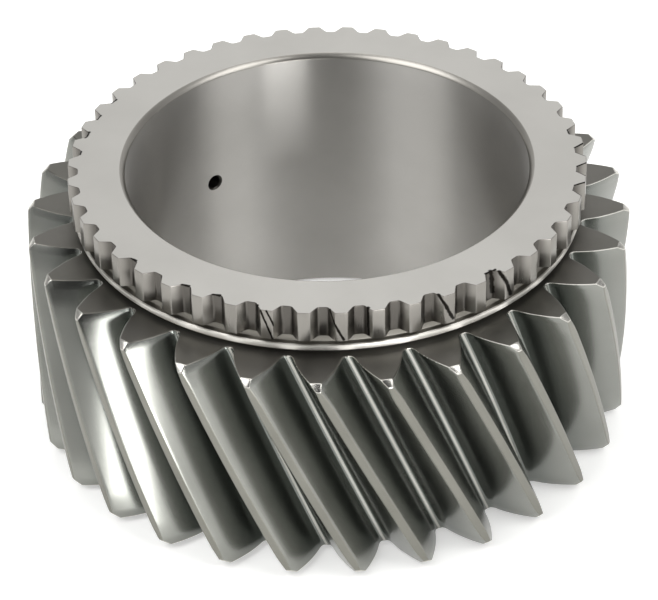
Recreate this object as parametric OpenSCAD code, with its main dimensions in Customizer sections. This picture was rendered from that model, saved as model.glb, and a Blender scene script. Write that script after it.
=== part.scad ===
// Helical transmission gear with a ring of clutch teeth, made in one piece from case-hardened steel.
// It stands on its lower thrust face: the origin is the centre of that face and Z is the axis of the bore.

/* [Bore and faces] */
// Diameter of the ground bore that turns on the needle bearing
bore_d = 98; // [88:0.5:103]
// Chamfer at both ends of the bore
bore_chamfer = 1.1; // [0.4:0.1:1.6]
// How far the lower thrust face stands proud of the helical teeth
boss_height = 1.5; // [0.6:0.1:4]
// How far the wall of the boss and of the neck lies inside the roots of the helical teeth
neck_depth = 2.1; // [1.4:0.1:3]

/* [Helical teeth] */
// Number of helical teeth
tooth_count = 28; // [27:1:34]
// Normal module of the helical teeth
tooth_module = 4.5; // [4.4:0.05:5.5]
// Normal pressure angle
pressure_angle = 25; // [20:0.5:26]
// Helix angle at the pitch circle, left hand
helix_angle = 23.5; // [18:0.5:30]
// Height of a tooth above the pitch circle, in modules
addendum = 1.1; // [0.8:0.02:1.16]
// Depth of a tooth space below the pitch circle, in modules
dedendum = 1.46; // [1.2:0.02:1.5]
// Clearance between the flanks of meshing teeth, taken off each tooth's thickness
backlash = 0.4; // [0:0.02:0.5]
// Length of the helical teeth along the axis
face_width = 56.2; // [30:0.2:80]
// Turned chamfer on the tips at both ends of the teeth
tip_chamfer = 1.4; // [0.5:0.1:2.5]
// Width of the root fillet, measured round the root circle
fillet_width = 0.8; // [0.4:0.05:1.3]
// Height of the root fillet
fillet_height = 1.6; // [0.8:0.1:2.5]
// Broken edge where a tooth space runs out through the end faces
tooth_edge = 0.35; // [0.1:0.05:0.5]
// How far the tips of the flanks fall back at the ends of the teeth
end_relief = 0.65; // [0.1:0.05:0.8]
// Length at each end of the teeth over which the flanks fall back
end_relief_length = 5; // [2:0.5:10]
// Angle of a tooth's centre at the upper end of the helical teeth
tooth_phase = -2.9; // [-6:0.1:6]

/* [Clutch teeth] */
// Number of clutch teeth
clutch_count = 46; // [30:1:48]
// Diameter over the clutch teeth
clutch_d = 125.6; // [124.5:0.1:132]
// Depth of the clutch tooth spaces
clutch_depth = 2.4; // [1.2:0.1:2.8]
// Length of the clutch teeth along the axis
clutch_length = 8; // [4:0.1:16]
// Width of a clutch tooth space at its floor
clutch_floor = 2.2; // [1.2:0.1:3]
// Angle between a clutch flank and the radius through its space
clutch_flank_angle = 37; // [15:1:40]
// Radius in the corners of the clutch tooth spaces
clutch_corner = 0.9; // [0.2:0.05:1.2]
// Broken edge on the tips of the clutch teeth
clutch_edge = 0.3; // [0.1:0.05:0.6]
// Angle of the centre of a clutch tooth space
clutch_phase = 2.3; // [0:0.1:7.8]

/* [Collar] */
// Width of the groove in which the clutch cutter runs out
relief_width = 1.8; // [0.6:0.1:3]
// Depth of that groove below the floors of the clutch tooth spaces
relief_depth = 0.4; // [0.2:0.1:2]
// Height of the bright collar below the groove
collar_height = 1.6; // [1.2:0.1:4]
// How far the collar stands out past the floors of the clutch tooth spaces
collar_lip = 1.35; // [0.9:0.05:2.2]
// Broken edge of the collar
collar_edge = 0.45; // [0.1:0.05:0.5]
// Width of the neck between the collar and the helical teeth
neck_width = 1.4; // [0.8:0.1:4]

/* [Oil hole] */
// Diameter of the hole that brings oil to the bearing
oil_hole_d = 3.5; // [2:0.1:5]
// Depth of the oil hole below the upper end of the helical teeth
oil_hole_drop = 19.2; // [8:0.1:22]
// Which tooth space the oil hole is drilled through, counted round from the first
oil_hole_space = 9; // [0:1:26]
// Countersink of the oil hole in the bore
oil_hole_sink = 0.4; // [0.1:0.1:0.8]

/* [Hidden] */
$fn = 96;

// Overshoot of a cutting tool past the surface that it leaves
run_out = 2;
// How far the flanks of a tooth space are carried on past the tip circle
flank_past = 0.4;
// Steps along one flank of a helical tooth space, and along its fillet
flank_steps = 3;
fillet_steps = 2;
// Length of the helical teeth that one layer of a tooth space may span
layer_length = 8;
// Steps in the corner radius of a clutch tooth space
corner_steps = 3;

bore_r = bore_d / 2;
pitch_r = tooth_count * tooth_module / (2 * cos(helix_angle));
tip_r = pitch_r + addendum * tooth_module;
root_r = pitch_r - dedendum * tooth_module;
form_r = root_r + fillet_height;
flank_end_r = tip_r + flank_past;
transverse_angle = atan(tan(pressure_angle) / cos(helix_angle));
base_r = pitch_r * cos(transverse_angle);
half_pitch = 180 / tooth_count;
twist_rate = degrees(tan(helix_angle)) / pitch_r;

neck_r = root_r - neck_depth;
clutch_r = clutch_d / 2;
floor_r = clutch_r - clutch_depth;
relief_r = floor_r - relief_depth;
collar_r = floor_r + collar_lip;

teeth_z = boss_height;
neck_z = teeth_z + face_width;
collar_z = neck_z + neck_width;
relief_z = collar_z + collar_height;
clutch_z = relief_z + relief_width;
top_z = clutch_z + clutch_length;

// Radians as degrees
function degrees(x) = x * 180 / PI;

// Involute function, in degrees
function involute(a) = degrees(tan(a)) - a;

// Half of a tooth's angular thickness at radius r, following the involute flank
function half_tooth(r) =
    half_pitch / 2 - degrees(backlash / 4 / pitch_r)
    + involute(transverse_angle) - involute(acos(min(1, base_r / r)));

// Half of a tooth space's angular width at radius r
function half_space(r) = half_pitch - half_tooth(r);

// The fillet may not be wider than the space that it rounds
fillet_angle = min(degrees(fillet_width / root_r), 0.85 * half_space(root_r));

// Angle of a flank at radius r from the centre of its space; grow widens the whole space, and
// relief only its mouth
function flank_angle(r, grow, relief) =
    let (widening = grow + relief * (r - form_r) / (tip_r - form_r))
    min(half_space(r) + degrees(widening / r), half_pitch - 0.1);

// One side of a tooth space as [radius, angle from its centre]: fillet, flank, and a radial
// run-out past the tips
function side(grow, relief) = concat(
    [for (i = [0 : fillet_steps])
        let (t = 90 * i / fillet_steps, r = root_r + fillet_height * (1 - cos(t)))
        [r - grow, half_space(r) - fillet_angle * (1 - sin(t)) + degrees(grow / r)]],
    [for (i = [1 : flank_steps])
        let (r = form_r + (flank_end_r - form_r) * i / flank_steps)
        [r, flank_angle(r, grow, relief)]],
    [[tip_r + run_out, flank_angle(flank_end_r, grow, relief)]]
);

// The closed outline of a tooth space, turned to angle a at height z
function outline(grow, relief, a, z) =
    let (s = side(grow, relief), n = len(s))
    concat(
        [for (i = [0 : n - 1]) [s[i][0] * cos(a - s[i][1]), s[i][0] * sin(a - s[i][1]), z]],
        [for (i = [n - 1 : -1 : 0]) [s[i][0] * cos(a + s[i][1]), s[i][0] * sin(a + s[i][1]), z]]
    );

// Angle of a helical tooth's centre at height z
function tooth_angle(z) = tooth_phase + twist_rate * (neck_z - z);

// How far the tips of the flanks have fallen back at height z
function relief_at(z) =
    end_relief * max(0, 1 - min(z - teeth_z, neck_z - z) / end_relief_length);

// One helical tooth space, from just below the teeth to just above them
module tooth_space() {
    inner = face_width - 2 * end_relief_length;
    spans = ceil(inner / layer_length);
    heights = concat(
        [teeth_z - tooth_edge, teeth_z + tooth_edge],
        [for (i = [0 : spans]) teeth_z + end_relief_length + inner * i / spans],
        [neck_z - tooth_edge, neck_z + tooth_edge]
    );
    layers = len(heights);
    half = len(side(0, 0));
    n = 2 * half;
    points = [for (j = [0 : layers - 1])
        let (z = heights[j], grow = (j == 0 || j == layers - 1) ? 2 * tooth_edge : 0)
        each outline(grow, relief_at(z), tooth_angle(z) + half_pitch, z)];
    walls = [for (j = [0 : layers - 2]) for (i = [0 : n - 1])
        let (a = j * n + i, b = j * n + (i + 1) % n)
        each [[a, a + n, b + n], [a, b + n, b]]];
    // Each end is closed by a ladder of triangles between the two sides of the space
    floor_end = [for (i = [0 : half - 2])
        let (m = n - 1 - i)
        each [[i, i + 1, m - 1], [i, m - 1, m]]];
    top = (layers - 1) * n;
    roof_end = [for (t = floor_end) [top + t[2], top + t[1], top + t[0]]];
    polyhedron(points, concat(walls, floor_end, roof_end), convexity = 6);
}

// Section of the turned blank: thrust face, helical band, neck, collar, groove and clutch band
module blank_section() {
    polygon([
        [bore_r + bore_chamfer, 0],
        [neck_r, 0],
        [neck_r, teeth_z],
        [tip_r - tip_chamfer, teeth_z],
        [tip_r, teeth_z + tip_chamfer],
        [tip_r, neck_z - tip_chamfer],
        [tip_r - tip_chamfer, neck_z],
        [neck_r, neck_z],
        [neck_r, collar_z],
        [collar_r - collar_edge, collar_z],
        [collar_r, collar_z + collar_edge],
        [collar_r, relief_z - collar_edge],
        [collar_r - collar_edge, relief_z],
        [relief_r, relief_z],
        [relief_r, clutch_z],
        [clutch_r - clutch_edge, clutch_z],
        [clutch_r, clutch_z + clutch_edge],
        [clutch_r, top_z - clutch_edge],
        [clutch_r - clutch_edge, top_z],
        [bore_r + bore_chamfer, top_z],
        [bore_r, top_z - bore_chamfer],
        [bore_r, bore_chamfer]
    ]);
}

// Points of the rounded corner between the floor of a clutch space and its flank; its radius is
// limited by the width of the floor
function corner() =
    let (turn = 90 - clutch_flank_angle,
        radius = min(clutch_corner, 0.45 * clutch_floor / tan(turn / 2)),
        centre = [floor_r + radius, clutch_floor / 2 - radius * tan(turn / 2)])
    [for (i = [0 : corner_steps])
        let (a = 180 - turn * i / corner_steps)
        centre + radius * [cos(a), sin(a)]];

// Outline of the tool that shapes one clutch tooth space
module clutch_space_section() {
    rise = clutch_depth + run_out;
    mouth = clutch_floor / 2 + rise * tan(clutch_flank_angle);
    right = concat(corner(), [[floor_r + rise, mouth]]);
    left = [for (i = [len(right) - 1 : -1 : 0]) [right[i][0], -right[i][1]]];
    polygon(concat(right, left));
}

module clutch_space() {
    translate([0, 0, relief_z + relief_width / 2])
    linear_extrude(relief_width / 2 + clutch_length + run_out)
    clutch_space_section();
}

// Radial oil hole from the root of a helical tooth space into the bore
module oil_hole() {
    z = neck_z - oil_hole_drop;
    a = tooth_angle(z) + half_pitch * (2 * oil_hole_space + 1);
    rotate([0, 0, a])
    translate([bore_r, 0, z])
    rotate([0, 90, 0]) {
        translate([0, 0, -run_out])
        cylinder(d = oil_hole_d, h = root_r - bore_r + 2 * run_out);
        translate([0, 0, -oil_hole_sink])
        cylinder(d1 = oil_hole_d + 4 * oil_hole_sink, d2 = oil_hole_d, h = 2 * oil_hole_sink);
    }
}

module gear() {
    color("#b4b2ab")
    difference() {
        rotate_extrude() blank_section();
        for (i = [0 : clutch_count - 1])
            rotate([0, 0, clutch_phase + 360 / clutch_count * i]) clutch_space();
        for (i = [0 : tooth_count - 1])
            rotate([0, 0, 2 * half_pitch * i]) tooth_space();
        oil_hole();
    }
}

gear();
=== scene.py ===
import math

import bmesh
import bpy
from mathutils import Matrix, Vector


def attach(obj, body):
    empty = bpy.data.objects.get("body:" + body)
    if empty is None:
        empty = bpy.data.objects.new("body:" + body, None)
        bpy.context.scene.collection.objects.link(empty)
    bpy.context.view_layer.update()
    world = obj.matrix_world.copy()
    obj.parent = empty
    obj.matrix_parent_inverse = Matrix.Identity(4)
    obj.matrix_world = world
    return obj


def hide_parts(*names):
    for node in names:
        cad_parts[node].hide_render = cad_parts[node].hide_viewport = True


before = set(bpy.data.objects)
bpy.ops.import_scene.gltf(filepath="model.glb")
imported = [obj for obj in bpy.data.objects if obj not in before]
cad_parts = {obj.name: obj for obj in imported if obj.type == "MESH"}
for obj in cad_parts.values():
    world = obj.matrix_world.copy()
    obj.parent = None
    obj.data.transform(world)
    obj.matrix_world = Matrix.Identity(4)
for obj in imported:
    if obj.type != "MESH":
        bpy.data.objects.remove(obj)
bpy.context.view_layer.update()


# The turned blank of the gear: the bore with its chamfers, the lower thrust face on its low boss,
# and the neck, collar and relief groove between the two sets of teeth. It is forged, turned in
# one chucking, and its bore and end faces are ground after hardening. All sizes are in mm.
bore_r, bore_chamfer = 49, 1.1
neck_r, neck_fillet, boss_edge = 60.03, 0.4, 0.3
collar_r, collar_edge = 61.75, 0.45
relief_r, relief_fillet = 60, 0.35
teeth_z, neck_z, collar_z, relief_z, clutch_z, top_z = 1.5, 57.7, 59.1, 60.7, 62.5, 70.5
# The seams of the blank follow the helical teeth, so that the meshes join point to point: twist is
# how far the teeth turn over their length, and top_angle is where the first one has its upper end.
tooth_count, arc_steps = 28, 10
half_pitch = math.pi / tooth_count
twist, top_angle = math.radians(20.38), math.radians(-2.9)
# Points this near to a plane or radius lie on it, and points this near to each other are merged.
touch, weld = 1e-3, 0.005
SURFACES = [
    "bore", "face", "collar", "neck", "flank", "root", "land",
    "end", "clutch", "edge", "chamfer", "groove", "hole",
]


def at(r, angle, z):
    return Vector((r * math.cos(angle), r * math.sin(angle), z))


def chain(bm, points):
    """Joins points by edges and returns the vertices and edges."""
    verts = [bm.verts.new(p) for p in points]
    return verts + [bm.edges.new(pair) for pair in zip(verts, verts[1:])]


def rounded(r, z, size, before, after):
    """Rounds the corner (r, z) of a section by three points, size away from it on both sides."""
    cut = size * (1 - math.cos(math.pi / 4))
    return [
        (r + size * before[0], z + size * before[1]),
        (r + cut * (before[0] + after[0]), z + cut * (before[1] + after[1])),
        (r + size * after[0], z + size * after[1]),
    ]


def turned(bm, section, phase, surface):
    """Turns a section (r, z) once round the axis, with its seam at the angle phase."""
    bmesh.ops.spin(
        bm,
        geom=chain(bm, [at(r, phase, z) for r, z in section]),
        axis=(0, 0, 1),
        angle=2 * math.pi,
        steps=tooth_count * arc_steps,
        use_merge=True,
    )
    for face in bm.faces:
        if not face.tag:
            face.tag = True
            face.material_index = SURFACES.index(surface)


blank = bmesh.new()
top_seam = top_angle - half_pitch
out, back, up, down = (1, 0), (-1, 0), (0, 1), (0, -1)
neck = [(neck_r, neck_z)] + rounded(neck_r, collar_z, neck_fillet, down, out)
collar = (
    neck[-1:]
    + rounded(collar_r, collar_z, collar_edge, back, up)
    + rounded(collar_r, relief_z, collar_edge, down, back)
)
groove = collar[-1:] + rounded(relief_r, relief_z, relief_fillet, out, up) + [(relief_r, clutch_z)]
turned(blank, neck, top_seam, "neck")
turned(blank, collar, top_seam, "collar")
turned(blank, groove, top_seam, "groove")

# Each chamfer is given by its steps out of the bore wall and in from the end face. It runs a little
# past both of its edges to round them.
rounding, ease = 0.15, 0.05
chamfer_steps = [
    (0, bore_chamfer + rounding),
    (ease, bore_chamfer - 0.02),
    (bore_chamfer - 0.02, ease),
    (bore_chamfer + rounding, 0),
]
for end, inward in ((top_z, -1), (0, 1)):
    section = [(bore_r + step, end + inward * depth) for step, depth in chamfer_steps]
    turned(blank, section, top_seam, "chamfer")
mouth_r = bore_r + bore_chamfer + rounding
wall_foot = bore_chamfer + rounding
wall_steps = 6
wall_step = (top_z - 2 * wall_foot) / wall_steps
wall = [(bore_r, top_z - wall_foot - wall_step * k) for k in range(wall_steps + 1)]
turned(blank, wall, top_seam, "bore")

boss = rounded(neck_r, 0, boss_edge, back, up) + [(neck_r, teeth_z)]
turned(blank, boss, top_seam + twist, "neck")


def rim(bm, r, z):
    return [
        e
        for e in bm.edges
        if all(abs(v.co.z - z) < touch and abs(v.co.xy.length - r) < touch for v in e.verts)
    ]


thrust_rims = rim(blank, mouth_r, 0) + rim(blank, neck_r - boss_edge, 0)
thrust_face = bmesh.ops.bridge_loops(blank, edges=thrust_rims)
for face in thrust_face["faces"]:
    face.material_index = SURFACES.index("face")


# The ring of helical teeth. They are hobbed out of the blank, shaved and case-hardened, which
# leaves them satin. A lathe tool chamfers the tips, and the edges where they run out through the
# end faces are broken by brushing.
tooth_module = 4.5
helix_angle, pressure_angle = math.radians(23.5), math.radians(25)
addendum, dedendum = 1.1 * tooth_module, 1.46 * tooth_module
pitch_r = tooth_count * tooth_module / 2 / math.cos(helix_angle)
tip_r = pitch_r + addendum
root_r = pitch_r - dedendum
transverse_angle = math.atan(math.tan(pressure_angle) / math.cos(helix_angle))
base_r = pitch_r * math.cos(transverse_angle)
backlash = 0.4
fillet_height, fillet_width, root_line = 1.6, 0.8, 0.3
form_r = root_r + fillet_height
line_angle = half_pitch - root_line / root_r
tip_chamfer, tooth_break, tooth_sharp = 1.4, 0.2, math.radians(40)
end_relief, relief_length = 0.65, 5
flank_steps, fillet_steps, sweep_steps = 12, 7, 26


def involute(a):
    return math.tan(a) - a


def half_tooth(r):
    """The angle from the middle of a tooth to its flank at the radius r."""
    return (
        half_pitch / 2
        - backlash / 4 / pitch_r
        + involute(transverse_angle)
        - involute(math.acos(min(1, base_r / r)))
    )


def half_profile():
    """Half the outline of a tooth as (r, angle), from its tip down to the middle of the space."""
    points = [(tip_r, half_tooth(tip_r) / 2)]
    for k in range(flank_steps + 1):
        r = tip_r + (form_r - tip_r) * k / flank_steps
        points.append((r, half_tooth(r)))
    for k in range(1, fillet_steps + 1):
        t = math.pi / 2 * (1 - k / fillet_steps)
        r = root_r + fillet_height * (1 - math.cos(t))
        points.append((r, half_tooth(r) + fillet_width / root_r * (1 - math.sin(t))))
    return points + [(root_r, line_angle), (root_r, half_pitch)]


def lean(z):
    """How far the helix has turned at the height z, seen from the upper end of the teeth."""
    return twist * (neck_z - z) / (neck_z - teeth_z)


def own_angle(point):
    """The angle of a point from the middle of the first tooth at the point's own height."""
    return math.atan2(point.y, point.x) - top_angle - lean(point.z)


def edges_of(geometry):
    return [e for e in geometry if isinstance(e, bmesh.types.BMEdge)]


teeth = bmesh.new()
side = half_profile()
profile = [(r, -a) for r, a in reversed(side)] + [(tip_r, 0)] + side
foot = chain(teeth, [at(r, a + top_angle + twist, teeth_z) for r, a in profile])
swept = bmesh.ops.spin(
    teeth,
    geom=foot,
    axis=(0, 0, 1),
    angle=-twist,
    dvec=(0, 0, (neck_z - teeth_z) / sweep_steps),
    steps=sweep_steps,
)
for v in teeth.verts:
    r, angle = v.co.xy.length, math.atan2(v.co.y, v.co.x)
    from_end = min(v.co.z - teeth_z, neck_z - v.co.z)
    fall = end_relief * max(0, 1 - from_end / relief_length)
    fall *= max(0, (r - form_r) / (tip_r - form_r))
    v.co = at(r, angle - fall / r * own_angle(v.co) / half_tooth(r), v.co.z)
for face in teeth.faces:
    middle = face.calc_center_median()
    if middle.xy.length > tip_r - 0.1:
        surface = "land"
    elif abs(own_angle(middle)) > line_angle:
        surface = "root"
    else:
        surface = "flank"
    face.material_index = SURFACES.index(surface)

for edges, angle, z in (
    (edges_of(foot), top_angle + twist, teeth_z),
    (edges_of(swept["geom_last"]), top_angle, neck_z),
):
    arc = [angle + half_pitch * (2 * k / arc_steps - 1) for k in range(arc_steps + 1)]
    inner = chain(teeth, [at(neck_r, a, z) for a in arc])
    ends = [v for e in edges for v in e.verts if abs(v.co.xy.length - root_r) < touch]
    ends.sort(key=lambda v: (v.co - inner[0].co).length)
    sides = [teeth.edges.new((inner[0], ends[0])), teeth.edges.new((inner[arc_steps], ends[-1]))]
    end_face = bmesh.ops.contextual_create(teeth, geom=edges + edges_of(inner) + sides)
    for face in end_face["faces"]:
        face.material_index = SURFACES.index("end")

for angle, z, rise in ((top_angle + twist, teeth_z, -1), (top_angle, neck_z, 1)):
    cut = bmesh.ops.bisect_plane(
        teeth,
        geom=teeth.verts[:] + teeth.edges[:] + teeth.faces[:],
        dist=touch / 100,
        plane_co=at(tip_r - tip_chamfer, angle, z),
        plane_no=at(1, angle, rise),
        clear_outer=True,
    )
    facet = bmesh.ops.contextual_create(teeth, geom=edges_of(cut["geom_cut"]))
    for face in facet["faces"]:
        face.material_index = SURFACES.index("edge")


def repeated(bm, count):
    """Sets count copies round the axis and welds them to each other."""
    bmesh.ops.spin(
        bm,
        geom=bm.verts[:] + bm.edges[:] + bm.faces[:],
        axis=(0, 0, 1),
        angle=2 * math.pi * (count - 1) / count,
        steps=count - 1,
        use_duplicate=True,
    )
    bmesh.ops.remove_doubles(bm, verts=bm.verts[:], dist=weld)


def broken(bm, least_angle, width):
    """Rounds the edges that are sharper than least_angle and returns the new faces."""
    bmesh.ops.recalc_face_normals(bm, faces=bm.faces[:])
    edges = [e for e in bm.edges if e.is_manifold and e.calc_face_angle(0) > least_angle]
    made = bmesh.ops.bevel(
        bm,
        geom=edges,
        offset=width,
        offset_type="OFFSET",
        segments=2,
        profile=0.5,
        affect="EDGES",
        clamp_overlap=True,
        material=-1,
    )
    return made["faces"]


repeated(teeth, tooth_count)
middle_z = (teeth_z + neck_z) / 2
for face in broken(teeth, tooth_sharp, tooth_break):
    middle = face.calc_center_median()
    leading = own_angle(middle) % (2 * half_pitch) > half_pitch
    if min(middle.z - teeth_z, neck_z - middle.z) > tip_chamfer + tooth_break:
        surface = "land"
    elif middle.xy.length > tip_r - tip_chamfer - tooth_break or leading == (middle.z > middle_z):
        surface = "edge"
    else:
        surface = "end"
    face.material_index = SURFACES.index(surface)


# The clutch teeth that the sliding sleeve engages. They are shaped straight along the axis by a
# cutter that runs out into the relief groove, and ground flat across their ends together with
# the upper face.
clutch_count, clutch_r, clutch_depth = 46, 62.8, 2.4
clutch_floor, clutch_corner, clutch_break = 2.2, 0.9, 0.15
clutch_flank, clutch_sharp = math.radians(37), math.radians(35)
clutch_angle = math.radians(2.3)
corner_steps = 4


def half_space():
    """Half the outline of a space and of the tooth beside it, from the middle of the space."""
    floor_r = clutch_r - clutch_depth
    turn = math.pi / 2 - clutch_flank
    aside = clutch_floor / 2 - clutch_corner * math.tan(turn / 2)
    centre = Vector((floor_r + clutch_corner, aside))
    points = [Vector((floor_r, 0))]
    for k in range(corner_steps + 1):
        a = math.pi - turn * k / corner_steps
        points.append(centre + clutch_corner * Vector((math.cos(a), math.sin(a))))
    slope = Vector((math.cos(clutch_flank), math.sin(clutch_flank)))
    b = points[-1].dot(slope)
    rise = math.sqrt(b * b + clutch_r**2 - points[-1].length_squared) - b
    points.append(points[-1] + slope * rise)
    corner_angle = math.atan2(points[-1].y, points[-1].x)
    middle = math.pi / clutch_count
    for k in (1, 2):
        points.append(at(clutch_r, corner_angle + (middle - corner_angle) * k / 2, 0).xy)
    return points


clutch = bmesh.new()
half = half_space()
mirrored = [(p.x, -p.y, clutch_z) for p in reversed(half)]
chain(clutch, mirrored + [(p.x, p.y, clutch_z) for p in half[1:]])
bmesh.ops.rotate(clutch, verts=clutch.verts[:], matrix=Matrix.Rotation(clutch_angle, 3, "Z"))
repeated(clutch, clutch_count)
plate = bmesh.ops.contextual_create(clutch, geom=clutch.edges[:])["faces"]
risen = bmesh.ops.extrude_face_region(clutch, geom=plate, use_keep_orig=True)
lifted = [v for v in risen["geom"] if isinstance(v, bmesh.types.BMVert)]
bmesh.ops.translate(clutch, verts=lifted, vec=(0, 0, top_z - clutch_z))
broken(clutch, clutch_sharp, clutch_break)
for face in clutch.faces:
    face.material_index = SURFACES.index("clutch")
plates = [f for f in clutch.faces if len(f.verts) > clutch_count]
bmesh.ops.delete(clutch, geom=plates, context="FACES_ONLY")


# The gear is one piece of case-hardened steel, so the blank and both sets of teeth are joined
# into one closed surface here, and the flat rings between them are closed.
def joined(bm, other):
    mesh = bpy.data.meshes.new("part_of_gear")
    other.to_mesh(mesh)
    other.free()
    bm.from_mesh(mesh)
    bpy.data.meshes.remove(mesh)


joined(teeth, blank)
joined(teeth, clutch)
for z, surface in ((top_z, "face"), (clutch_z, "groove")):
    open_edges = [e for e in teeth.edges if e.is_boundary]
    loops = [e for e in open_edges if all(abs(v.co.z - z) < touch for v in e.verts)]
    ring = bmesh.ops.triangle_fill(teeth, edges=loops, use_beauty=True, normal=(0, 0, 1))
    for face in ring["geom"]:
        if isinstance(face, bmesh.types.BMFace):
            face.material_index = SURFACES.index(surface)
bmesh.ops.remove_doubles(teeth, verts=teeth.verts[:], dist=weld)
bmesh.ops.recalc_face_normals(teeth, faces=teeth.faces[:])


def piece_from(bm, name):
    """Makes an object in metres of a mesh in mm."""
    bmesh.ops.scale(bm, verts=bm.verts[:], vec=(0.001, 0.001, 0.001))
    mesh = bpy.data.meshes.new(name)
    bm.to_mesh(mesh)
    bm.free()
    piece = bpy.data.objects.new(name, mesh)
    bpy.context.scene.collection.objects.link(piece)
    for surface in SURFACES:
        mesh.materials.append(None)
    return piece


# The oil hole. It is drilled radially from the root of one helical tooth space into the bore,
# where it is countersunk, and feeds the needle bearing.
hole_drop, hole_space = 19.2, 9
hole_z = neck_z - hole_drop
hole_angle = top_angle + lean(hole_z) + half_pitch * (2 * hole_space + 1)
hole_r, hole_sink, hole_steps, past = 1.75, 0.4, 40, 2
drill = bmesh.new()
chain(
    drill,
    [
        (0, 0, bore_r - past),
        (hole_r + 2 * hole_sink, 0, bore_r - past),
        (hole_r + 2 * hole_sink, 0, bore_r - hole_sink),
        (hole_r, 0, bore_r + hole_sink),
        (hole_r, 0, root_r + 2 * past),
        (0, 0, root_r + 2 * past),
    ],
)
bmesh.ops.spin(
    drill,
    geom=drill.verts[:] + drill.edges[:],
    axis=(0, 0, 1),
    angle=2 * math.pi,
    steps=hole_steps,
    use_merge=True,
)
bmesh.ops.remove_doubles(drill, verts=drill.verts[:], dist=touch)
bmesh.ops.recalc_face_normals(drill, faces=drill.faces[:])
for face in drill.faces:
    face.material_index = SURFACES.index("hole")
bmesh.ops.transform(
    drill,
    verts=drill.verts[:],
    matrix=Matrix.Translation((0, 0, hole_z))
    @ Matrix.Rotation(hole_angle, 4, "Z")
    @ Matrix.Rotation(math.pi / 2, 4, "Y"),
)
gear = piece_from(teeth, "gear_body")
drill_bit = piece_from(drill, "drill_bit")
drilling = gear.modifiers.new("oil_hole", "BOOLEAN")
drilling.operation = "DIFFERENCE"
drilling.solver = "MANIFOLD"
drilling.object = drill_bit
graph = bpy.context.evaluated_depsgraph_get()
drilled = bpy.data.meshes.new_from_object(gear.evaluated_get(graph))
gear.modifiers.remove(drilling)
gear.data = drilled
bpy.data.objects.remove(drill_bit)
least_sharp, level = math.radians(30), 0.9999
drilled.set_sharp_from_angle(angle=least_sharp)
for face in drilled.polygons:
    face.use_smooth = abs(face.normal.z) < level
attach(gear, "root")
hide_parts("gear")


# The finishes of the steel. Each is named for how its surface was made, and some also hold painted
# shade and painted light, noted where they are set. Each finish's pattern follows the cut: rings on
# what was turned or ground on a spindle, lines along the teeth on the rest. Real tool lines are
# 0.05 to 0.2 mm apart, and these are drawn 0.3 to 0.6 mm apart, so that they show.
cloud_scale, cloud_detail, line_detail = 60.0, 4.0, 3.0
lengthwise = (1, 1, 0.03)
least_noise, most_noise = 0.6, 1.4
shade_below, colour_above = 0.3, 0.6
# The tangent runs round the axis, and a quarter turn from it sends reflections across the rings.
quarter_turn = 0.25


def linear(code):
    values = [int(code[k : k + 2], 16) / 255 for k in (1, 3, 5)]
    return [v / 12.92 if v <= 0.04045 else ((v + 0.055) / 1.055) ** 2.4 for v in values] + [1]


def add(tree, kind, sockets, **settings):
    """Adds a shader node; a socket takes a value or the socket of another node."""
    made = tree.nodes.new("ShaderNode" + kind)
    for name, value in settings.items():
        setattr(made, name, value)
    for socket, value in sockets.items():
        if isinstance(value, bpy.types.NodeSocket):
            tree.links.new(value, made.inputs[socket])
        else:
            made.inputs[socket].default_value = value
    return made


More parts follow.
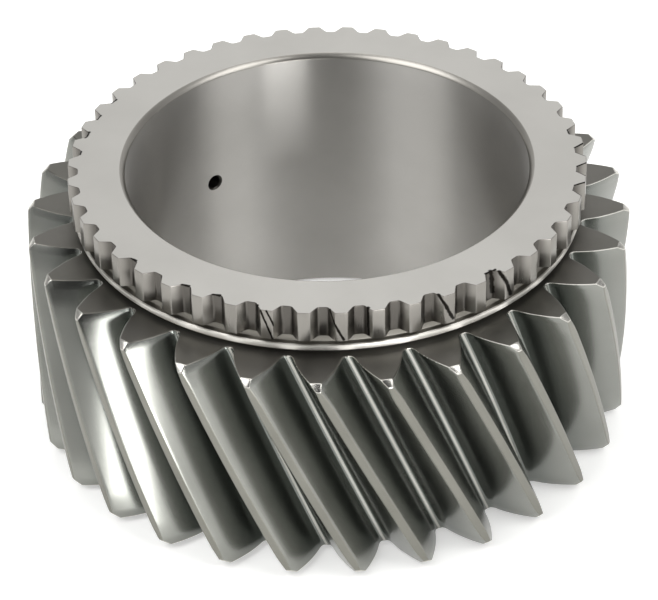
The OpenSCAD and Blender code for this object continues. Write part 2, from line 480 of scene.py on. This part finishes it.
def steel(name, colour, shade, roughness, spread, marks, pitch, depth, grain=0.0, painted_shade=None):
    """A finish in two close tones, colour and shade, whose roughness varies by spread.

    marks says what the tool lines follow, pitch is their spacing and depth their height in mm.
    grain draws reflections out across the lines. The last argument is painted shade: a darker
    colour and the two radii in mm between which it gives way to the tones.
    """
    material = bpy.data.materials.new(name)
    material.use_nodes = True
    tree = material.node_tree
    tree.nodes.clear()
    place = add(tree, "TexCoord", {}).outputs["Object"]
    split = add(tree, "SeparateXYZ", {0: place})
    flat = add(tree, "CombineXYZ", {0: split.outputs["X"], 1: split.outputs["Y"]})
    radius = add(tree, "VectorMath", {0: flat.outputs[0]}, operation="LENGTH").outputs["Value"]
    pattern = {"Scale": 1000 / pitch, "Detail": line_detail}
    if marks == "length":
        drawn_out = add(tree, "Mapping", {0: place, "Scale": lengthwise}).outputs[0]
        line = add(tree, "TexNoise", {0: drawn_out, **pattern})
    else:
        along = radius if marks == "radius" else split.outputs["Z"]
        line = add(tree, "TexNoise", {"W": along, **pattern}, noise_dimensions="1D")
    cloud = add(tree, "TexNoise", {0: place, "Scale": cloud_scale, "Detail": cloud_detail})
    lines_and_clouds = {0: line.outputs["Fac"], 1: cloud.outputs["Fac"]}
    mixed = add(tree, "Math", lines_and_clouds, operation="ADD").outputs[0]
    low, high = roughness - spread, roughness + spread
    span = {0: mixed, 1: least_noise, 2: most_noise, 3: low, 4: high}
    rough = add(tree, "MapRange", span).outputs[0]
    tint = add(tree, "ValToRGB", {0: cloud.outputs["Fac"]})
    tint.color_ramp.elements[0].color = linear(shade)
    tint.color_ramp.elements[0].position = shade_below
    tint.color_ramp.elements[1].color = linear(colour)
    tint.color_ramp.elements[1].position = colour_above
    base = tint.outputs["Color"]
    # Painted shade: the darker colour is mixed in towards the inner radius.
    if painted_shade:
        dark, inner_r, outer_r = painted_shade
        radii = {0: radius, 1: inner_r / 1000, 2: outer_r / 1000}
        share = add(tree, "MapRange", radii, interpolation_type="SMOOTHSTEP").outputs[0]
        # Sockets 6 and 7 of a Mix node are its two colours, and its output 2 is their mixture.
        base = add(tree, "Mix", {0: share, 6: linear(dark), 7: base}, data_type="RGBA").outputs[2]
    relief = {"Strength": 1.0, "Distance": depth / 1000, "Height": line.outputs["Fac"]}
    bump = add(tree, "Bump", relief)
    shader = add(
        tree,
        "BsdfPrincipled",
        {
            "Base Color": base,
            "Metallic": 1.0,
            "Roughness": rough,
            "Normal": bump.outputs[0],
            "Anisotropic": grain,
            "Anisotropic Rotation": quarter_turn,
        },
    )
    if grain:
        ring = add(tree, "Tangent", {}, direction_type="RADIAL", axis="Z")
        tree.links.new(ring.outputs[0], shader.inputs["Tangent"])
    add(tree, "OutputMaterial", {0: shader.outputs[0]})
    return material


finishes = {
    # The ground bore draws each light out into an upright band with soft borders.
    "bore": steel(
        "ground_steel_bore", "#bcbab6", "#b6b4b0", 0.42, 0.01, "height", 0.6, 0.00005, grain=1.0
    ),
    # The ground face is an even pale satin with faint rings.
    "face": steel(
        "ground_steel_face", "#bebcb7", "#b9b7b2", 0.32, 0.02, "radius", 0.5, 0.0003, grain=0.45
    ),
    # The turned collar is painted paler than the other steel, painted light that makes it the
    # brightest ring, and its fine lines draw the light out up and down.
    "collar": steel(
        "turned_steel_collar_painted_light", "#e2dfd8", "#dbd8d1", 0.4, 0.02, "height", 0.3, 0.0001, grain=0.9
    ),
    # The neck is dull and dark, with the skin that hardening left on it.
    "neck": steel("turned_steel_neck", "#5b5954", "#51504b", 0.42, 0.04, "height", 0.4, 0.0006),
    # The shaved flanks mirror the room most clearly. Their colour is painted darker towards the
    # root, as painted shade between the teeth.
    "flank": steel(
        "shaved_steel_flank_painted_shade", "#8f908b", "#868782", 0.24, 0.02, "radius", 0.5, 0.0001,
        painted_shade=("#737672", 63, 72.5),
    ),
    # The root is painted paler than the flanks, a painted highlight that shows as one thin bright
    # line down the middle of each space.
    "root": steel("hobbed_steel_root_painted_highlight", "#b4b3ad", "#a6a59f", 0.26, 0.03, "radius", 0.4, 0.0003),
    # The tip lands are narrow bands of mid grey beside the flanks.
    "land": steel("turned_steel_tip_land", "#85847d", "#7c7b74", 0.3, 0.03, "height", 0.5, 0.0005),
    # The ends of the helical teeth are dark, and their turning marks spread the light sideways.
    "end": steel(
        "turned_steel_tooth_end", "#706e69", "#66655f", 0.34, 0.04, "radius", 0.5, 0.0006, grain=0.8
    ),
    # The clutch teeth have cutter marks along the axis, and their floors are painted darker, as
    # painted shade in the spaces.
    "clutch": steel(
        "shaped_steel_clutch_tooth_painted_shade", "#8f8c87", "#83807b", 0.3, 0.04, "length", 0.5, 0.0006,
        painted_shade=("#5c5955", 60.4, 62.5),
    ),
    # The brushed edges catch the light as small bright facets.
    "edge": steel("brushed_steel_edge", "#cac8c2", "#bebcb6", 0.26, 0.03, "length", 0.5, 0.0002),
    # The chamfers of the bore are a thin ring a little darker than the face.
    "chamfer": steel(
        "turned_steel_bore_chamfer", "#a3a09a", "#9a9791", 0.3, 0.02, "radius", 0.3, 0.0003
    ),
    # The groove is matt, so it stays plain below the bright teeth.
    "groove": steel("turned_steel_groove", "#918e87", "#87847d", 0.5, 0.04, "radius", 0.4, 0.0003),
    # The wall of the oil hole is nearly black with old oil.
    "hole": steel("drilled_steel_hole", "#4a4845", "#3c3a38", 0.45, 0.05, "length", 0.5, 0.001),
}
for index, surface in enumerate(SURFACES):
    drilled.materials[index] = finishes[surface]


# The wear: the sleeve has scored a few clutch teeth and knocked small nicks into their upper
# edges, and old oil has turned these marks black. Each runs from one radius, angle and height
# to another and has a half width, in mm and degrees.
ragged_scale, ragged_detail = 900.0, 2.0
# In half widths from the line of a mark, to which the ragged noise adds about a half.
full_mark, no_mark = 1.1, 1.6
scores = [
    ((61.2, -90.1, 70.4), (62.8, -88.9, 66.8), 0.36),
    ((62.8, -88.9, 66.8), (62.8, -87.3, 63.0), 0.36),
    ((62.8, -104.6, 70.3), (62.8, -102.2, 62.7), 0.3),
    ((62.8, -103.3, 70.3), (62.8, -100.5, 63.0), 0.3),
    ((60.4, -52.0, 70.5), (60.4, -51.6, 64.6), 0.7),
    ((61.6, -50.7, 70.5), (62.8, -49.6, 67.8), 0.6),
    ((62.8, -49.6, 67.8), (62.8, -48.2, 63.4), 0.6),
    ((60.4, -53.6, 70.5), (60.6, -50.8, 70.5), 0.35),
    ((61.6, -66.3, 70.5), (62.8, -65.4, 68.4), 0.5),
    ((62.8, -65.4, 68.4), (62.8, -63.4, 63.6), 0.5),
    ((61.4, -81.9, 70.4), (61.6, -81.8, 63.2), 0.5),
    ((61.2, -105.6, 70.4), (61.4, -105.5, 64.4), 0.4),
    ((62.8, -16.2, 70.3), (62.8, -16.6, 64.0), 0.35),
    ((60.4, -14.4, 70.5), (62.6, -15.9, 70.5), 0.25),
    ((60.4, -12.3, 70.5), (62.6, -10.8, 70.5), 0.25),
    ((60.4, -6.6, 70.5), (62.6, -8.1, 70.5), 0.25),
    ((60.4, -4.5, 70.5), (62.6, -3.0, 70.5), 0.25),
    ((60.4, 1.3, 70.5), (62.6, -0.2, 70.5), 0.25),
    ((60.4, 3.3, 70.5), (62.6, 4.8, 70.5), 0.3),
    ((60.3, 9.2, 70.5), (60.3, 11.0, 70.5), 0.35),
    ((60.2, 173.8, 70.5), (60.3, 175.2, 70.5), 0.3),
    ((60.2, 165.6, 70.5), (60.5, 167.8, 70.5), 0.5),
    ((60.2, 158.0, 70.5), (60.4, 159.8, 70.5), 0.4),
    ((60.2, 150.3, 70.5), (60.4, 152.0, 70.5), 0.4),
    ((60.6, -139.3, 70.5), (60.2, -138.0, 70.5), 0.4),
    ((60.6, -123.9, 70.5), (60.2, -122.3, 70.5), 0.4),
    ((60.6, -116.1, 70.5), (60.2, -114.6, 70.5), 0.4),
]


def score(material):
    """Darkens the metal where its surface lies within a mark's half width of the mark's line."""
    tree = material.node_tree
    shader = next(node for node in tree.nodes if node.type == "BSDF_PRINCIPLED")
    place = add(tree, "TexCoord", {}).outputs["Object"]
    noise = {0: place, "Scale": ragged_scale, "Detail": ragged_detail}
    ragged = add(tree, "TexNoise", noise).outputs["Fac"]
    nearest = None
    for (r0, a0, z0), (r1, a1, z1), half in scores:
        start = at(r0, math.radians(a0), z0) / 1000
        run = at(r1, math.radians(a1), z1) / 1000 - start
        step = run / run.length_squared
        offset = add(tree, "VectorMath", {0: place, 1: start}, operation="SUBTRACT").outputs[0]
        reach = add(tree, "VectorMath", {0: offset, 1: step}, operation="DOT_PRODUCT").outputs[1]
        share = add(tree, "Math", {0: reach, 1: 1.0}, operation="MULTIPLY", use_clamp=True)
        foot = add(tree, "VectorMath", {0: run, "Scale": share.outputs[0]}, operation="SCALE")
        gap = add(tree, "VectorMath", {0: offset, 1: foot.outputs[0]}, operation="DISTANCE")
        in_widths = {0: gap.outputs["Value"], 1: 1000 / half, 2: ragged}
        away = add(tree, "Math", in_widths, operation="MULTIPLY_ADD").outputs[0]
        if nearest is not None:
            away = add(tree, "Math", {0: nearest, 1: away}, operation="MINIMUM").outputs[0]
        nearest = away
    fall_off = {0: nearest, 1: full_mark, 2: no_mark, 3: 1.0, 4: 0.0}
    strength = add(tree, "MapRange", fall_off).outputs[0]
    base = shader.inputs["Base Color"].links[0].from_socket
    marked = add(tree, "Mix", {0: strength, 6: base, 7: linear("#1c1a17")}, data_type="RGBA")
    tree.links.new(marked.outputs[2], shader.inputs["Base Color"])


for surface in ("clutch", "face"):
    score(finishes[surface])


# The studio: a pale floor that runs up into a low curved wall, soft panels above and in front,
# and the camera at the height and angle from which the gear was photographed. From here on all
# sizes are in metres.
cove_steps = 64
stage = bmesh.new()
cove = [(0.02, 0), (0.5, 0), (3.4, 0), (3.7, 0.05), (3.9, 0.2), (4.0, 0.55)]
chain(stage, [(r, 0, z) for r, z in cove])
bmesh.ops.spin(
    stage,
    geom=stage.verts[:] + stage.edges[:],
    axis=(0, 0, 1),
    angle=2 * math.pi,
    steps=cove_steps,
    use_merge=True,
)
hub = [e for e in stage.edges if e.is_boundary and e.verts[0].co.z < 0.1]
bmesh.ops.contextual_create(stage, geom=hub)
bmesh.ops.recalc_face_normals(stage, faces=stage.faces[:])
stage_mesh = bpy.data.meshes.new("studio_floor")
stage.to_mesh(stage_mesh)
stage.free()
floor = bpy.data.objects.new("studio_floor", stage_mesh)
bpy.context.scene.collection.objects.link(floor)

# The paper is lifted to white where the camera or a reflection sees it. The lift lights nothing.
paper_lift = 0.4
paper = bpy.data.materials.new("white_paper")
paper.use_nodes = True
tree = paper.node_tree
tree.nodes.clear()
sight = add(tree, "LightPath", {}).outputs
seen = sight["Is Camera Ray"]
for ray in ("Is Glossy Ray", "Is Transmission Ray"):
    seen = add(tree, "Math", {0: seen, 1: sight[ray]}, operation="MAXIMUM").outputs[0]
lift = add(tree, "Math", {0: seen, 1: paper_lift}, operation="MULTIPLY")
glow = add(tree, "Emission", {"Color": linear("#ffffff"), "Strength": lift.outputs[0]})
card = add(tree, "BsdfDiffuse", {"Color": linear("#eeeeec")})
both = add(tree, "AddShader", {0: glow.outputs[0], 1: card.outputs[0]})
add(tree, "OutputMaterial", {0: both.outputs[0]})
stage_mesh.materials.append(paper)

# The room is dark behind the camera and white behind the gear. Azimuth is in degrees and runs
# from the camera's side to the right.
world = bpy.data.worlds.new("studio")
bpy.context.scene.world = world
world.use_nodes = True
tree = world.node_tree
tree.nodes.clear()
sky = add(tree, "TexCoord", {}).outputs["Generated"]
away = add(tree, "SeparateXYZ", {0: sky}).outputs
nearer = add(tree, "Math", {0: away["Y"], 1: -1.0}, operation="MULTIPLY").outputs[0]
azimuth = add(tree, "Math", {0: away["X"], 1: nearer}, operation="ARCTAN2").outputs[0]
turned_by = add(tree, "MapRange", {0: azimuth, 1: -math.pi, 2: math.pi, 3: 0.0, 4: 1.0})
room_tones = [
    (-165, "#ffffff"),
    (-120, "#9c9c9c"),
    (-88, "#c4c4c4"),
    (-60, "#aaaaaa"),
    (-27, "#aaaaaa"),
    (-23, "#303030"),
    (10, "#303030"),
    (32, "#909090"),
    (60, "#aaaaaa"),
    (84, "#c4c4c4"),
    (110, "#9c9c9c"),
    (165, "#ffffff"),
]
tones = add(tree, "ValToRGB", {0: turned_by.outputs[0]})
ramp = tones.color_ramp
while len(ramp.elements) < len(room_tones):
    ramp.elements.new(0.5)
for element, (degrees, tone) in zip(ramp.elements, room_tones):
    element.position = (degrees + 180) / 360
    element.color = linear(tone)
room = add(tree, "Background", {"Color": tones.outputs["Color"], "Strength": 1.0})
add(tree, "OutputWorld", {0: room.outputs[0]})


gear_middle = Vector((0, 0, 0.035))


def panel(name, azimuth, elevation, distance, width, height, power):
    """A soft light panel that faces the gear. Its angles are in degrees and its power in watts."""
    a, e = math.radians(azimuth), math.radians(elevation)
    away = Vector((math.sin(a) * math.cos(e), -math.cos(a) * math.cos(e), math.sin(e)))
    light = bpy.data.lights.new(name, "AREA")
    light.shape = "RECTANGLE"
    light.size, light.size_y = width, height
    light.energy = power
    lamp = bpy.data.objects.new(name, light)
    bpy.context.scene.collection.objects.link(lamp)
    lamp.location = away * distance + gear_middle
    lamp.rotation_euler = away.to_track_quat("Z", "Y").to_euler()


panel("soft_top", 180, 74, 1.6, 1.4, 1.2, 4.5)
panel("soft_front", 22, 9, 1.5, 0.6, 0.5, 8.6)
panel("soft_side", 56, 6, 1.5, 1.0, 0.5, 1.3)
panel("soft_left", -60, 50, 1.5, 1.0, 1.0, 10)
panel("soft_right", 60, 50, 1.5, 0.75, 1.0, 7.5)

camera = bpy.data.cameras.new("camera")
camera.lens, camera.sensor_width, camera.sensor_fit = 175.24, 36, "HORIZONTAL"
eye = bpy.data.objects.new("camera", camera)
bpy.context.scene.collection.objects.link(eye)
tilt, roll = math.radians(35.85), math.radians(-1.231)
target, distance = Vector((-0.000207, 0, 0.028904)), 0.8
forward = Vector((0, math.cos(tilt), -math.sin(tilt)))
right = Vector((1, 0, 0))
up = right.cross(forward)
across = right * math.cos(roll) + up * math.sin(roll)
upward = up * math.cos(roll) - right * math.sin(roll)
facing = Matrix((across, upward, -forward)).transposed().to_4x4()
eye.matrix_world = Matrix.Translation(target - forward * distance) @ facing
camera.clip_start, camera.clip_end = 0.05, 20
bpy.context.scene.camera = eye
bpy.context.scene.view_settings.view_transform = "Standard"
